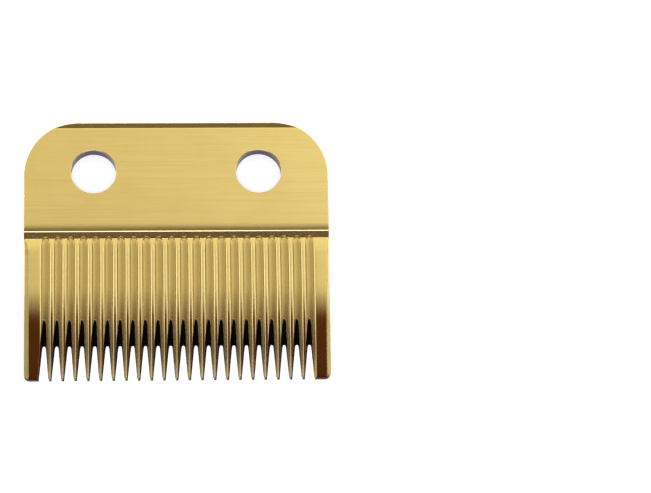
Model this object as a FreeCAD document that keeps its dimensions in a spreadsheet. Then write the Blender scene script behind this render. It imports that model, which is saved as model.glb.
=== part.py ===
import FreeCAD, Part
import Sketcher
import math
import os
from FreeCAD import Vector, Rotation, Placement

# Fixed (comb) blade of a hair clipper, one piece of steel.
# Frame: it lies on its flat inner face, the fluted outer face up (+Z), the
# teeth towards -Y, the mounting edge towards +Y, X across the blade.
# Origin: middle of the outline, on the inner face.

doc = FreeCAD.newDocument("clipper_blade")

# ------------------------------------------------------------------ sizes
sheet = doc.addObject("Spreadsheet::Sheet", "dims")
SIZES = [
    # alias, value, what it is (mm or degrees)
    ("blade_width", 46.0, "overall width across the blade"),
    ("blade_length", 40.1, "tooth tips to rear edge"),
    ("plate_thick", 2.2, "thickness of the mounting plate"),
    ("rear_radius", 8.55, "plan radius of the two rear corners"),
    ("front_radius", 1.0, "plan radius of the two front corners"),
    ("rear_bevel_run", 1.05, "rear bevel, measured along the plate"),
    ("rear_bevel_drop", 0.6, "rear bevel, measured down"),
    ("rear_blend", 0.8, "radius between plate and rear bevel"),
    ("base_edge", 0.15, "small break of the lower rear edge"),
    ("hole_dia", 6.8, "mounting hole diameter"),
    ("hole_spacing", 25.0, "mounting hole spacing"),
    ("hole_from_tips", 32.1, "mounting hole centres, from the tooth tips"),
    ("hole_break", 0.12, "edge break of the holes"),
    ("rolloff_start", 24.1, "start of the roll-off before the step, from the tips"),
    ("rolloff_end", 23.0, "end of the rounded part of the roll-off"),
    ("rolloff_angle", 4.5, "slope that the roll-off reaches"),
    ("step_angle", 36.5, "slope of the step wall"),
    ("step_radius", 0.4, "radius of the step's upper edge"),
    ("step_foot_radius", 0.12, "radius at the foot of the step"),
    ("valley_at", 21.71, "foot of the step, from the tips"),
    ("dip_flat_at", 19.6, "where the comb field becomes level"),
    ("dip_bend_at", 20.8, "where the dip towards the step is fully sloped"),
    ("dip_angle", 8.0, "slope of the dip"),
    ("crown_start", 14.4, "where the comb field starts to curve down"),
    ("crown_end", 7.5, "where the curve turns into the straight slope"),
    ("tooth_slope", 6.5, "slope of the teeth"),
    ("tip_thick", 0.36, "thickness that the slope line has at the tips"),
    ("tip_nose", 0.2, "radius of the tooth tips in side view"),
    ("hollow_start", 9.6, "hollow of the inner face, near end"),
    ("hollow_end", 17.4, "hollow of the inner face, far end"),
    ("hollow_depth", 0.3, "depth of the hollow"),
    ("pitch_len", 1.8904, "tooth pitch"),
    ("flute_count", 22, "number of flutes"),
    ("flute_shift", 0.15, "flutes sit this far to +X of the centre line"),
    ("flute_depth", 0.2525, "flute depth to where the ridge starts to round over"),
    ("flute_floor_r", 2.4, "radius of the flute floor"),
    ("flute_floor_half", 0.465, "half width of the flute floor arc"),
    ("flute_side_r", 0.06, "radius between floor and flank"),
    ("flute_flank", 62.0, "slope of the flute flank"),
    ("flute_crest_r", 0.36, "radius of the rounded ridge"),
    ("flute_end_at", 21.4, "centre of the round flute end, from the tips"),
    ("flute_end_floor", 0.02, "floor of the round end, above the lowest line of the flute"),
    ("flute_end_lean", 0.1, "how far the wall of the round end leans back up to 1 mm"),
    ("slot_count", 22, "number of tooth gaps"),
    ("slot_shift", -0.119, "at the tips the gaps sit this far to +X of the centre line"),
    ("slot_lean", 0.012, "the gaps drift this far to +X for each mm from the tips"),
    ("slot_root_at", 5.346, "where the gap opens on the inner face"),
    ("slot_slope", 13.4, "slope of the gap floor"),
    ("slot_flat", 0.18, "flat width of the gap floor"),
    ("slot_corner_r", 0.2, "corner radius of the gap floor"),
    ("slot_half_angle", 20.74, "half angle of the gap walls"),
    ("slot_high", 1.72, "height of the gap cut above its floor"),
    ("bevel_left", 0.85, "full width of the left side bevel"),
    ("bevel_right", 0.65, "full width of the right side bevel"),
    ("bevel_drop", 0.3, "side bevel, measured down"),
]
for row, (alias, value, what) in enumerate(SIZES, start=1):
    sheet.set("A%d" % row, alias)
    sheet.set("B%d" % row, str(value))
    sheet.setAlias("B%d" % row, alias)
    sheet.set("C%d" % row, what)
doc.recompute()
V = {alias: float(sheet.get(alias)) for alias, _, _ in SIZES}


def rad(a):
    return a * math.pi / 180.0


body = doc.addObject("PartDesign::Body", "fixed_blade")
body.Label = "fixed_blade"


def plane(role):
    for o in body.Origin.OriginFeatures:
        if o.Role == role:
            return o
    raise RuntimeError(role)


def sketch(name, role, offset=None):
    sk = body.newObject("Sketcher::SketchObject", name)
    sk.AttachmentSupport = [(plane(role), "")]
    sk.MapMode = "FlatFace"
    if offset is not None:
        sk.AttachmentOffset = Placement(offset, Rotation())
    sk.Visibility = False
    return sk


def at(sk, cid, expr):
    """Bind one constraint of a sketch to an expression over the sheet."""
    sk.setExpression("Constraints[%d]" % cid, expr)


def pin(sk, geo, pos, x, y, ex, ey):
    """Fix a point at (x, y) from the sketch origin and bind both distances."""
    for kind, val, ex_ in (("DistanceX", x, ex), ("DistanceY", y, ey)):
        if abs(val) < 1e-9 and ex_ is None:
            if kind == "DistanceX":
                sk.addConstraint(Sketcher.Constraint("PointOnObject", geo, pos, -2))
            else:
                sk.addConstraint(Sketcher.Constraint("PointOnObject", geo, pos, -1))
            continue
        cid = sk.addConstraint(Sketcher.Constraint(kind, -1, 1, geo, pos, val))
        if ex_:
            at(sk, cid, ex_)


# ------------------------------------------------------------------ side profile
# Drawn in the YZ plane. u is the distance from the tooth tips, y = u - length/2.
H = V["blade_length"] / 2
ts, ds, ra, sa = (rad(V[k]) for k in ("tooth_slope", "dip_angle", "rolloff_angle", "step_angle"))
crown_R = (V["crown_start"] - V["crown_end"]) / math.sin(ts)
z_slope_end = V["tip_thick"] + V["crown_end"] * math.tan(ts)
z_flat = z_slope_end + crown_R * (1 - math.cos(ts))
dip_R = (V["dip_bend_at"] - V["dip_flat_at"]) / math.sin(ds)
z_bend = z_flat - dip_R * (1 - math.cos(ds))
z_valley = z_bend - (V["valley_at"] - V["dip_bend_at"]) * math.tan(ds)
roll_R = (V["rolloff_start"] - V["rolloff_end"]) / math.sin(ra)
z_roll = V["plate_thick"] - roll_R * (1 - math.cos(ra))
u_edge = (z_roll - V["rolloff_end"] * math.tan(ra) - z_valley + V["valley_at"] * math.tan(sa)) / (math.tan(sa) - math.tan(ra))
z_edge = z_valley + (u_edge - V["valley_at"]) * math.tan(sa)
nose = V["tip_nose"]
z_nose = V["tip_thick"] + nose * math.tan(ts) - nose / math.cos(ts)
bevel_a = math.atan2(V["rear_bevel_drop"], V["rear_bevel_run"])

# The same quantities as expressions over the sheet
E = {}
E["crown_R"] = "((dims.crown_start - dims.crown_end) / sin(dims.tooth_slope * 1deg))"
E["z_slope_end"] = "(dims.tip_thick + dims.crown_end * tan(dims.tooth_slope * 1deg))"
E["z_flat"] = "(%s + %s * (1 - cos(dims.tooth_slope * 1deg)))" % (E["z_slope_end"], E["crown_R"])
E["dip_R"] = "((dims.dip_bend_at - dims.dip_flat_at) / sin(dims.dip_angle * 1deg))"
E["z_bend"] = "(%s - %s * (1 - cos(dims.dip_angle * 1deg)))" % (E["z_flat"], E["dip_R"])
E["z_valley"] = "(%s - (dims.valley_at - dims.dip_bend_at) * tan(dims.dip_angle * 1deg))" % E["z_bend"]
E["roll_R"] = "((dims.rolloff_start - dims.rolloff_end) / sin(dims.rolloff_angle * 1deg))"
E["z_roll"] = "(dims.plate_thick - %s * (1 - cos(dims.rolloff_angle * 1deg)))" % E["roll_R"]


def mm(expr):
    return "(%s) * 1mm" % expr


def arc3(p1, p2, center, ccw):
    """Arc of a circle from p1 to p2 about center."""
    r = (p1 - center).Length
    a1 = math.atan2(p1.y - center.y, p1.x - center.x)
    a2 = math.atan2(p2.y - center.y, p2.x - center.x)
    c = Part.Circle(center, Vector(0, 0, 1), r)
    return Part.ArcOfCircle(c, a1, a2) if ccw else Part.ArcOfCircle(c, a2, a1)


def chain(sk, items):
    """Add segments end to end. Each item is ('L', p1, p2) or
    ('A', p1, p2, centre, ccw). Returns (first, last) vertex ids of each."""
    ends = []
    for it in items:
        if it[0] == "L":
            g = sk.addGeometry(Part.LineSegment(it[1], it[2]), False)
            ends.append((g, 1, 2))
        else:
            g = sk.addGeometry(arc3(it[1], it[2], it[3], it[4]), False)
            ends.append((g, 1, 2) if it[4] else (g, 2, 1))
    return ends


def close(sk, ends, loop=True, tangent=()):
    """Join the segments end to end; the joints listed in tangent are smooth."""
    n = len(ends)
    for i in range(n if loop else n - 1):
        a, b = ends[i], ends[(i + 1) % n]
        kind = "Tangent" if i in tangent else "Coincident"
        sk.addConstraint(Sketcher.Constraint(kind, a[0], a[2], b[0], b[1]))


def P(u, z):
    return Vector(u - H, z, 0)


ft = V["rear_blend"] * math.tan(bevel_a / 2)           # tangent length of the rear blend
st = V["step_radius"] * math.tan((sa - ra) / 2)         # tangent length of the step's edge
vt = V["step_foot_radius"] * math.tan((sa + ds) / 2)    # tangent length at its foot
L = V["blade_length"]
tk = V["plate_thick"]
hc = (V["hollow_start"] + V["hollow_end"]) / 2
hh = (V["hollow_end"] - V["hollow_start"]) / 2
hollow_R = (hh * hh + V["hollow_depth"] ** 2) / (2 * V["hollow_depth"])

p = [
    P(0, 0),
    P(0, z_nose),
    P(nose - nose * math.sin(ts), z_nose + nose * math.cos(ts)),
    P(V["crown_end"], z_slope_end),
    P(V["crown_start"], z_flat),
    P(V["dip_flat_at"], z_flat),
    P(V["dip_bend_at"], z_bend),
    P(V["valley_at"] - vt * math.cos(ds), z_valley + vt * math.sin(ds)),
    P(V["valley_at"] + vt * math.cos(sa), z_valley + vt * math.sin(sa)),
    P(u_edge - st * math.cos(sa), z_edge - st * math.sin(sa)),
    P(u_edge + st * math.cos(ra), z_edge + st * math.sin(ra)),
    P(V["rolloff_end"], z_roll),
    P(V["rolloff_start"], tk),
    P(L - V["rear_bevel_run"] - ft, tk),
    P(L - V["rear_bevel_run"] + ft * math.cos(bevel_a), tk - ft * math.sin(bevel_a)),
    P(L, tk - V["rear_bevel_drop"]),
    P(L, V["base_edge"]),
    P(L - V["base_edge"], 0),
    P(V["hollow_end"], 0),
    P(V["hollow_start"], 0),
]
c_nose = P(nose, z_nose)
c_crown = P(V["crown_start"], z_flat - crown_R)
c_dip = P(V["dip_flat_at"], z_flat - dip_R)
nrm = Vector(math.sin(ds), math.cos(ds), 0)
c_foot = p[7] + nrm * V["step_foot_radius"]
c_edge = p[10] + Vector(math.sin(ra), -math.cos(ra), 0) * V["step_radius"]
c_roll = P(V["rolloff_start"], tk - roll_R)
c_rear = P(L - V["rear_bevel_run"] - ft, tk - V["rear_blend"])
c_hollow = P(hc, V["hollow_depth"] - hollow_R)
items = [
    ("L", p[0], p[1]),
    ("A", p[1], p[2], c_nose, False),
    ("L", p[2], p[3]),
    ("A", p[3], p[4], c_crown, False),
    ("L", p[4], p[5]),
    ("A", p[5], p[6], c_dip, False),
    ("L", p[6], p[7]),
    ("A", p[7], p[8], c_foot, True),
    ("L", p[8], p[9]),
    ("A", p[9], p[10], c_edge, False),
    ("L", p[10], p[11]),
    ("A", p[11], p[12], c_roll, False),
    ("L", p[12], p[13]),
    ("A", p[13], p[14], c_rear, False),
    ("L", p[14], p[15]),
    ("L", p[15], p[16]),
    ("L", p[16], p[17]),
    ("L", p[17], p[18]),
    ("A", p[18], p[19], c_hollow, True),
    ("L", p[19], p[0]),
]
sk = sketch("side_profile", "YZ_Plane")
e = chain(sk, items)
close(sk, e, tangent=(0, 1, 2, 5, 6, 7, 8, 9, 10, 12, 13))
C = Sketcher.Constraint
half = "dims.blade_length / 2"
pin(sk, e[0][0], 1, p[0].x, 0, mm("-%s" % half), None)                      # tips, inner face
sk.addConstraint(C("Vertical", e[0][0]))
at(sk, sk.addConstraint(C("Radius", e[1][0], nose)), mm("dims.tip_nose"))
pin(sk, e[2][0], 2, p[3].x, p[3].y, mm("dims.crown_end - %s" % half), mm(E["z_slope_end"]))
pin(sk, e[4][0], 1, p[4].x, p[4].y, mm("dims.crown_start - %s" % half), mm(E["z_flat"]))
sk.addConstraint(C("Horizontal", e[4][0]))
at(sk, sk.addConstraint(C("Radius", e[3][0], crown_R)), mm(E["crown_R"]))
at(sk, sk.addConstraint(C("DistanceX", -1, 1, e[4][0], 2, p[5].x)), mm("dims.dip_flat_at - %s" % half))
pin(sk, e[6][0], 1, p[6].x, p[6].y, mm("dims.dip_bend_at - %s" % half), mm(E["z_bend"]))
at(sk, sk.addConstraint(C("Radius", e[5][0], dip_R)), mm(E["dip_R"]))
at(sk, sk.addConstraint(C("Radius", e[7][0], V["step_foot_radius"])), mm("dims.step_foot_radius"))
at(sk, sk.addConstraint(C("Angle", e[8][0], sa)), "dims.step_angle * 1deg")
at(sk, sk.addConstraint(C("Radius", e[9][0], V["step_radius"])), mm("dims.step_radius"))
pin(sk, e[10][0], 2, p[11].x, p[11].y, mm("dims.rolloff_end - %s" % half), mm(E["z_roll"]))
pin(sk, e[12][0], 1, p[12].x, p[12].y, mm("dims.rolloff_start - %s" % half), mm("dims.plate_thick"))
sk.addConstraint(C("Horizontal", e[12][0]))
at(sk, sk.addConstraint(C("DistanceX", e[8][0], 1, -1, 1, -p[8].x)), mm("%s - dims.valley_at - dims.step_foot_radius * tan((dims.step_angle + dims.dip_angle) * 0.5deg) * cos(dims.step_angle * 1deg)" % half))
at(sk, sk.addConstraint(C("Radius", e[13][0], V["rear_blend"])), mm("dims.rear_blend"))
pin(sk, e[14][0], 2, p[15].x, p[15].y, mm(half), mm("dims.plate_thick - dims.rear_bevel_drop"))
at(sk, sk.addConstraint(C("Angle", e[14][0], -bevel_a)), "-atan(dims.rear_bevel_drop / dims.rear_bevel_run)")
sk.addConstraint(C("Vertical", e[15][0]))
at(sk, sk.addConstraint(C("DistanceY", -1, 1, e[15][0], 2, V["base_edge"])), mm("dims.base_edge"))
pin(sk, e[16][0], 2, p[17].x, 0, mm("%s - dims.base_edge" % half), None)
pin(sk, e[17][0], 2, p[18].x, 0, mm("dims.hollow_end - %s" % half), None)
pin(sk, e[18][0], e[18][2], p[19].x, 0, mm("dims.hollow_start - %s" % half), None)
at(sk, sk.addConstraint(C("Radius", e[18][0], hollow_R)),
   mm("(pow((dims.hollow_end - dims.hollow_start) / 2; 2) + pow(dims.hollow_depth; 2)) / (2 * dims.hollow_depth)"))
doc.recompute()
print("profile:", sk.solve())

blank = body.newObject("PartDesign::Pad", "blank")
blank.Profile = sk
blank.Midplane = True
blank.Length = V["blade_width"]
blank.setExpression("Length", mm("dims.blade_width"))
doc.recompute()
print("blank", round(blank.Shape.Volume, 3))

# ------------------------------------------------------------------ plan corners
Wh = V["blade_width"] / 2


def corner(sk, sx, sy, R, key):
    """Corner waste between the square corner and its rounding."""
    X, Y = sx * Wh, sy * H
    m = 1.0
    a = Vector(X, Y - sy * R, 0)          # on the side edge
    b = Vector(X - sx * R, Y, 0)          # on the end edge
    c = Vector(X - sx * R, Y - sy * R, 0)
    o = [a, Vector(X + sx * m, a.y, 0), Vector(X + sx * m, Y + sy * m, 0), Vector(b.x, Y + sy * m, 0), b]
    g = []
    for i in range(4):
        g.append(sk.addGeometry(Part.LineSegment(o[i], o[i + 1]), False))
    ccw = (sx * sy) < 0
    arc = sk.addGeometry(arc3(b, a, c, ccw), False)
    s_, e_ = (1, 2) if ccw else (2, 1)
    for i in range(3):
        sk.addConstraint(C("Coincident", g[i], 2, g[i + 1], 1))
    sk.addConstraint(C("Coincident", g[3], 2, arc, s_))
    sk.addConstraint(C("Coincident", arc, e_, g[0], 1))
    sk.addConstraint(C("Horizontal", g[0]))
    sk.addConstraint(C("Vertical", g[1]))
    sk.addConstraint(C("Horizontal", g[2]))
    sk.addConstraint(C("Vertical", g[3]))
    at(sk, sk.addConstraint(C("Radius", arc, R)), mm("dims.%s" % key))
    px = "%sdims.blade_width / 2" % ("" if sx > 0 else "-")
    py = "%sdims.blade_length / 2" % ("" if sy > 0 else "-")
    r_x = "%s dims.%s" % ("-" if sx > 0 else "+", key)
    r_y = "%s dims.%s" % ("-" if sy > 0 else "+", key)
    pin(sk, arc, 3, c.x, c.y, mm("%s %s" % (px, r_x)), mm("%s %s" % (py, r_y)))
    at(sk, sk.addConstraint(C("DistanceY", -1, 1, g[0], 1, a.y)), mm("%s %s" % (py, r_y)))
    at(sk, sk.addConstraint(C("DistanceX", -1, 1, g[3], 2, b.x)), mm("%s %s" % (px, r_x)))
    sk.addConstraint(C("DistanceX", -1, 1, g[0], 2, o[1].x))
    sk.addConstraint(C("DistanceY", -1, 1, g[3], 1, o[3].y))


def cut(name, prof, length=None, both=True, expr=None):
    f = body.newObject("PartDesign::Pocket", name)
    f.Profile = prof
    if length is None:
        f.Type = "ThroughAll"
    else:
        f.Type = "Length"
        f.Length = length
        if expr:
            f.setExpression("Length", expr)
    f.Midplane = both
    return f


def done(feature, label):
    doc.recompute()
    if "Invalid" in feature.State:
        for o in doc.Objects:
            if "Invalid" in o.State:
                print("FAILED", o.Name, o.State, o.getStatusString() if hasattr(o, "getStatusString") else "")
        raise RuntimeError(label)
    print(label, round(feature.Shape.Volume, 3), feature.Shape.isValid())


sk = sketch("rear_corners_plan", "XY_Plane")
corner(sk, 1, 1, V["rear_radius"], "rear_radius")
corner(sk, -1, 1, V["rear_radius"], "rear_radius")
done(cut("rear_corners", sk), "rear corners")
sk = sketch("front_corners_plan", "XY_Plane")
corner(sk, 1, -1, V["front_radius"], "front_radius")
corner(sk, -1, -1, V["front_radius"], "front_radius")
done(cut("front_corners", sk), "front corners")

# ------------------------------------------------------------------ mounting holes
sk = sketch("holes_plan", "XY_Plane")
for sx in (-1, 1):
    c = Vector(sx * V["hole_spacing"] / 2, V["hole_from_tips"] - H, 0)
    g = sk.addGeometry(Part.Circle(c, Vector(0, 0, 1), V["hole_dia"] / 2), False)
    at(sk, sk.addConstraint(C("Diameter", g, V["hole_dia"])), mm("dims.hole_dia"))
    pin(sk, g, 3, c.x, c.y, mm("%sdims.hole_spacing / 2" % ("-" if sx < 0 else "")), mm("dims.hole_from_tips - %s" % half))
done(cut("mounting_holes", sk), "holes")

# edge break of the holes on the outer face, one turned cut for each
for sx in (-1, 1):
    r, b = V["hole_dia"] / 2, V["hole_break"]
    cx = sx * V["hole_spacing"] / 2
    cy = V["hole_from_tips"] - H
    sk = sketch("hole_break_%s" % ("left" if sx < 0 else "right"), "XZ_Plane", Vector(0, 0, -cy))
    sk.setExpression("AttachmentOffset.Base.z", "(%s - dims.hole_from_tips) * 1mm" % half)
    q = [Vector(cx + r - 0.3, tk - b - 0.3, 0), Vector(cx + r + b + 0.2, tk + 0.2, 0), Vector(cx + r - 0.3, tk + 0.2, 0)]
    g = [sk.addGeometry(Part.LineSegment(q[i], q[(i + 1) % 3]), False) for i in range(3)]
    for i in range(3):
        sk.addConstraint(C("Coincident", g[i], 2, g[(i + 1) % 3], 1))
    s = "%sdims.hole_spacing / 2" % ("-" if sx < 0 else "")
    pin(sk, g[0], 1, q[0].x, q[0].y, mm("%s + dims.hole_dia / 2 - 0.3" % s), mm("dims.plate_thick - dims.hole_break - 0.3"))
    pin(sk, g[1], 1, q[1].x, q[1].y, mm("%s + dims.hole_dia / 2 + dims.hole_break + 0.2" % s), mm("dims.plate_thick + 0.2"))
    pin(sk, g[2], 1, q[2].x, q[2].y, mm("%s + dims.hole_dia / 2 - 0.3" % s), mm("dims.plate_thick + 0.2"))
    ax = sk.addGeometry(Part.LineSegment(Vector(cx, 0, 0), Vector(cx, tk, 0)), True)
    sk.addConstraint(C("Vertical", ax))
    pin(sk, ax, 1, cx, 0, mm(s), None)
    sk.addConstraint(C("DistanceY", -1, 1, ax, 2, tk))
    gr = body.newObject("PartDesign::Groove", "hole_edge_%s" % ("left" if sx < 0 else "right"))
    gr.Profile = sk
    gr.ReferenceAxis = (sk, ["Axis0"])
    gr.Angle = 360.0
    done(gr, "hole edge")

# ------------------------------------------------------------------ side bevels
# The comb field's side edges are ground back: nothing at the step, full width
# from the level part to the front corner. Sections across the blade, lofted.
tf_R, cs, ce = crown_R, V["crown_start"], V["crown_end"]


def z_at(u):
    if u <= ce:
        return V["tip_thick"] + u * math.tan(ts), "(dims.tip_thick + (%s) * tan(dims.tooth_slope * 1deg))" % repr(u)
    if u <= cs:
        return (z_flat - tf_R + math.sqrt(tf_R ** 2 - (cs - u) ** 2),
                "(%s - %s + sqrt(pow(%s; 2) - pow(dims.crown_start - %s; 2)))" % (E["z_flat"], E["crown_R"], E["crown_R"], repr(u)))
    if u <= V["dip_flat_at"]:
        return z_flat, E["z_flat"]
    if u <= V["dip_bend_at"]:
        return (z_flat - dip_R + math.sqrt(dip_R ** 2 - (u - V["dip_flat_at"]) ** 2),
                "(%s - %s + sqrt(pow(%s; 2) - pow(%s - dims.dip_flat_at; 2)))" % (E["z_flat"], E["dip_R"], E["dip_R"], repr(u)))
    return z_bend - (u - V["dip_bend_at"]) * math.tan(ds), "(%s - (%s - dims.dip_bend_at) * tan(dims.dip_angle * 1deg))" % (E["z_bend"], repr(u))


STATIONS = {
    -1: [(-0.6, 1.0), (3.5, 1.0), (7.5, 1.0), (9.8, 1.0), (12.1, 1.0), (14.4, 1.0), (17.0, 1.0), (19.6, 0.96), (20.8, 0.66), (21.6, 0.22), (22.0, 0.02)],
    1: [(-0.6, 1.0), (3.5, 1.0), (7.5, 0.98), (9.8, 0.92), (12.1, 0.84), (14.4, 0.76), (17.0, 0.68), (19.6, 0.56), (20.8, 0.40), (21.6, 0.16), (22.0, 0.02)],
}
for sx in (-1, 1):
    key = "bevel_left" if sx < 0 else "bevel_right"
    side = "left" if sx < 0 else "right"
    secs = []
    for i, (u, share) in enumerate(STATIONS[sx]):
        z, ez = z_at(u)
        w, d = V[key] * share, V["bevel_drop"] * share
        k = 0.6
        sk = sketch("bevel_%s_%02d" % (side, i), "XZ_Plane", Vector(0, 0, H - u))
        sk.setExpression("AttachmentOffset.Base.z", "(%s - %s) * 1mm" % (half, repr(u)))
        w0, d0 = V[key], V["bevel_drop"]
        # bevel line through (edge - w, z) and (edge, z - d), run out past both ends
        q0 = Vector(sx * (Wh - w - k * w0), z + k * d0, 0)
        q1 = Vector(sx * (Wh + k * w0), z - d - k * d0, 0)
        q2 = Vector(sx * (Wh + k * w0), z + k * d0, 0)
        g = [sk.addGeometry(Part.LineSegment(a, b), False) for a, b in ((q0, q1), (q1, q2), (q2, q0))]
        for j in range(3):
            sk.addConstraint(C("Coincident", g[j], 2, g[(j + 1) % 3], 1))
        sg = "" if sx > 0 else "-"
        pin(sk, g[0], 1, q0.x, q0.y, mm("%s(dims.blade_width / 2 - dims.%s * %s)" % (sg, key, repr(share + k))), mm("%s + dims.bevel_drop * %s" % (ez, repr(k))))
        pin(sk, g[1], 1, q1.x, q1.y, mm("%s(dims.blade_width / 2 + dims.%s * %s)" % (sg, key, repr(k))), mm("%s - dims.bevel_drop * %s" % (ez, repr(share + k))))
        pin(sk, g[2], 1, q2.x, q2.y, mm("%s(dims.blade_width / 2 + dims.%s * %s)" % (sg, key, repr(k))), mm("%s + dims.bevel_drop * %s" % (ez, repr(k))))
        secs.append(sk)
    doc.recompute()
    lo = body.newObject("PartDesign::SubtractiveLoft", "side_bevel_%s" % side)
    lo.Profile = secs[0]
    lo.Sections = secs[1:]
    lo.Ruled = False
    done(lo, "side bevel %s" % side)

# ------------------------------------------------------------------ flutes
# One flute: its section swept from its rear end level along the field, over
# the crown and down the slope, with a bowl-shaped rear end.
pitch = V["pitch_len"]
x0 = -pitch * (V["flute_count"] - 1) / 2 + V["flute_shift"]
ex0 = "-dims.pitch_len * (dims.flute_count - 1) / 2 + dims.flute_shift"
fr, fh, sr, fa = V["flute_floor_r"], V["flute_floor_half"], V["flute_side_r"], rad(V["flute_flank"])
fd, cr = V["flute_depth"], V["flute_crest_r"]
t0 = math.asin(fh / fr)
z1 = fr - math.sqrt(fr * fr - fh * fh)
x2 = fh + sr * (math.sin(fa) - math.sin(t0))
z2 = z1 + sr * (math.cos(t0) - math.cos(fa))
x3 = x2 + (fd - z2) / math.tan(fa)
full = fd + cr * (1 - math.cos(fa))                     # floor to ridge top
x4 = x3 + cr * math.sin(fa)
z_floor = z_flat - full
EF = {}
EF["t0s"] = "(dims.flute_floor_half / dims.flute_floor_r)"
EF["z1"] = "(dims.flute_floor_r - sqrt(pow(dims.flute_floor_r; 2) - pow(dims.flute_floor_half; 2)))"
EF["x2"] = "(dims.flute_floor_half + dims.flute_side_r * (sin(dims.flute_flank * 1deg) - %s))" % EF["t0s"]
EF["z2"] = "(%s + dims.flute_side_r * (sqrt(1 - pow(%s; 2)) - cos(dims.flute_flank * 1deg)))" % (EF["z1"], EF["t0s"])
EF["x3"] = "(%s + (dims.flute_depth - %s) / tan(dims.flute_flank * 1deg))" % (EF["x2"], EF["z2"])
EF["full"] = "(dims.flute_depth + dims.flute_crest_r * (1 - cos(dims.flute_flank * 1deg)))"
EF["x4"] = "(%s + dims.flute_crest_r * sin(dims.flute_flank * 1deg))" % EF["x3"]
EF["floor"] = "(%s - %s)" % (E["z_flat"], EF["full"])
top = 0.35                                              # the cut is closed this far above the ridge

sec = sketch("flute_section", "XZ_Plane", Vector(0, 0, H - V["flute_end_at"]))
sec.setExpression("AttachmentOffset.Base.z", "(%s - dims.flute_end_at) * 1mm" % half)


def FS(s, x, z):
    return Vector(x0 + s * x, z_floor + z, 0)


cF = Vector(x0, z_floor + fr, 0)
segs = []


def side_pts(s):
    a = FS(s, fh, z1)
    b = FS(s, x2, z2)
    c = FS(s, x3, fd)
    d = FS(s, x4, full)
    cs_ = FS(s, fh - sr * math.sin(t0), z1 + sr * math.cos(t0))
    cc = FS(s, x4, full - cr)
    return a, b, c, d, cs_, cc


aL, bL, cL, dL, csL, ccL = side_pts(-1)
aR, bR, cR, dR, csR, ccR = side_pts(1)
tL, tR = FS(-1, x4, full + top), FS(1, x4, full + top)
items = [
    ("A", aL, aR, cF, True),
    ("A", aR, bR, csR, True),
    ("L", bR, cR),
    ("A", cR, dR, ccR, False),
    ("L", dR, tR),
    ("L", tR, tL),
    ("L", tL, dL),
    ("A", dL, cL, ccL, False),
    ("L", cL, bL),
    ("A", bL, aL, csL, True),
]
e = chain(sec, items)
close(sec, e)
fx = lambda s, k: mm("%s %s %s" % (ex0, "+" if s > 0 else "-", k))
fz = lambda k: mm("%s + %s" % (EF["floor"], k))
pin(sec, e[0][0], 3, cF.x, cF.y, mm(ex0), fz("dims.flute_floor_r"))
pin(sec, e[0][0], 1, aL.x, aL.y, fx(-1, "dims.flute_floor_half"), fz(EF["z1"]))
at(sec, sec.addConstraint(C("DistanceX", -1, 1, e[0][0], 2, aR.x)), fx(1, "dims.flute_floor_half"))
for s, (arc, flank, crest, wall) in ((1, (e[1], e[2], e[3], e[4])), (-1, (e[9], e[8], e[7], e[6]))):
    b_, c_, d_ = (bR, cR, dR) if s > 0 else (bL, cL, dL)
    fb, fc = (1, 2) if s > 0 else (2, 1)
    pin(sec, flank[0], fb, b_.x, b_.y, fx(s, EF["x2"]), fz(EF["z2"]))
    pin(sec, flank[0], fc, c_.x, c_.y, fx(s, EF["x3"]), fz("dims.flute_depth"))
    pin(sec, wall[0], 1 if s > 0 else 2, d_.x, d_.y, fx(s, EF["x4"]), fz(EF["full"]))
    at(sec, sec.addConstraint(C("Radius", arc[0], sr)), mm("dims.flute_side_r"))
    at(sec, sec.addConstraint(C("Radius", crest[0], cr)), mm("dims.flute_crest_r"))
sec.addConstraint(C("Vertical", e[4][0]))
sec.addConstraint(C("Vertical", e[6][0]))
sec.addConstraint(C("Horizontal", e[5][0]))
at(sec, sec.addConstraint(C("DistanceY", -1, 1, e[5][0], 1, tR.y)), mm("%s + %s" % (E["z_flat"], repr(top))))

path = sketch("flute_path", "YZ_Plane", Vector(0, 0, x0))
path.setExpression("AttachmentOffset.Base.z", mm(ex0))
Rf = crown_R - full
pA = P(V["flute_end_at"], z_floor)
pB = P(V["crown_start"], z_floor)
pC = P(V["crown_start"] - Rf * math.sin(ts), z_floor - Rf * (1 - math.cos(ts)))
run = V["crown_start"] - Rf * math.sin(ts) + 1.5
pD = pC + Vector(-math.cos(ts), -math.sin(ts), 0) * (run / math.cos(ts))
cB = P(V["crown_start"], z_floor - Rf)
e = chain(path, [("L", pA, pB), ("A", pB, pC, cB, True), ("L", pC, pD)])
close(path, e, loop=False, tangent=(0, 1))
pin(path, e[0][0], 1, pA.x, pA.y, mm("dims.flute_end_at - %s" % half), mm(EF["floor"]))
pin(path, e[0][0], 2, pB.x, pB.y, mm("dims.crown_start - %s" % half), mm(EF["floor"]))
at(path, path.addConstraint(C("Radius", e[1][0], Rf)), mm("%s - %s" % (E["crown_R"], EF["full"])))
at(path, path.addConstraint(C("Angle", e[2][0], math.pi + ts)), "(180 + dims.tooth_slope) * 1deg")
at(path, path.addConstraint(C("DistanceX", -1, 1, e[2][0], 2, pD.x)), mm("-1.5 - %s" % half))
doc.recompute()
print("flute sketches:", sec.solve(), path.solve())

flute = body.newObject("PartDesign::SubtractivePipe", "flute")
flute.Profile = sec
flute.Spine = (path, ["Edge1", "Edge2", "Edge3"])
flute.Mode = "Standard"
done(flute, "one flute")

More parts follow.
